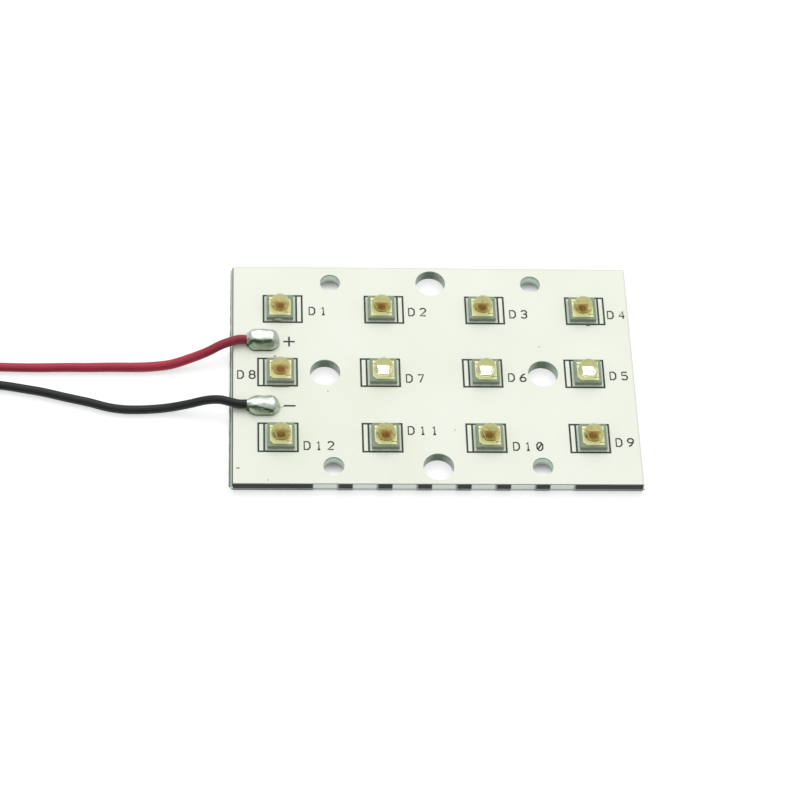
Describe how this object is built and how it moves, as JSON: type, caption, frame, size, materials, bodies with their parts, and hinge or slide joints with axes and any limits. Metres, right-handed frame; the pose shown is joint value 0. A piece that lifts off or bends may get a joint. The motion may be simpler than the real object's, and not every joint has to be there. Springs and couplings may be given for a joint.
{
  "type": "led array",
  "caption": "Aluminium-backed board with rows of clear-domed LEDs on ceramic bases in printed frames, screw and peg holes, and a soldered red and black lead.",
  "frame": {"origin": "middle of the board's flat back, which lies on z = 0", "axes": "+X to the right along the long side, away from the end with the leads; +Y to the back row; +Z out of the white face"},
  "size_m": [0.0858, 0.0292, 0.0037],
  "materials": {
    "plate": "rolled, with scored and snapped edges",
    "resin": "filled resin, cut edge",
    "copper": "etched copper foil",
    "mask": "cured white mask, satin",
    "print": "screen print",
    "solder": "bright solder",
    "red_insulation": "smooth insulation",
    "black_insulation": "smooth insulation",
    "ceramic": "sintered, sawn edges",
    "gilding": "gilded",
    "chip": "polished chip",
    "lens": "clear silicone"
  },
  "bodies": {
    "root": {"aluminium_plate": "plate", "resin_layer": "resin", "copper_foil": "copper", "solder_mask": "mask", "printed_marks": "print", "led_solder": "solder", "positive_joint": "solder", "negative_joint": "solder", "positive_lead": "red_insulation", "positive_coil": "red_insulation", "negative_lead": "black_insulation", "negative_coil": "black_insulation", "led_1_base": "ceramic", "led_2_base": "ceramic", "led_3_base": "ceramic", "led_4_base": "ceramic", "led_5_base": "ceramic", "led_6_base": "ceramic", "led_7_base": "ceramic", "led_8_base": "ceramic", "led_9_base": "ceramic", "led_10_base": "ceramic", "led_11_base": "ceramic", "led_12_base": "ceramic", "led_1_contact": "gilding", "led_2_contact": "gilding", "led_3_contact": "gilding", "led_4_contact": "gilding", "led_5_contact": "gilding", "led_6_contact": "gilding", "led_7_contact": "gilding", "led_8_contact": "gilding", "led_9_contact": "gilding", "led_10_contact": "gilding", "led_11_contact": "gilding", "led_12_contact": "gilding", "led_1_die": "chip", "led_2_die": "chip", "led_3_die": "chip", "led_4_die": "chip", "led_5_die": "chip", "led_6_die": "chip", "led_7_die": "chip", "led_8_die": "chip", "led_9_die": "chip", "led_10_die": "chip", "led_11_die": "chip", "led_12_die": "chip", "led_1_lens": "lens", "led_2_lens": "lens", "led_3_lens": "lens", "led_4_lens": "lens", "led_5_lens": "lens", "led_6_lens": "lens", "led_7_lens": "lens", "led_8_lens": "lens", "led_9_lens": "lens", "led_10_lens": "lens", "led_11_lens": "lens", "led_12_lens": "lens"}
  },
  "joints": []
}
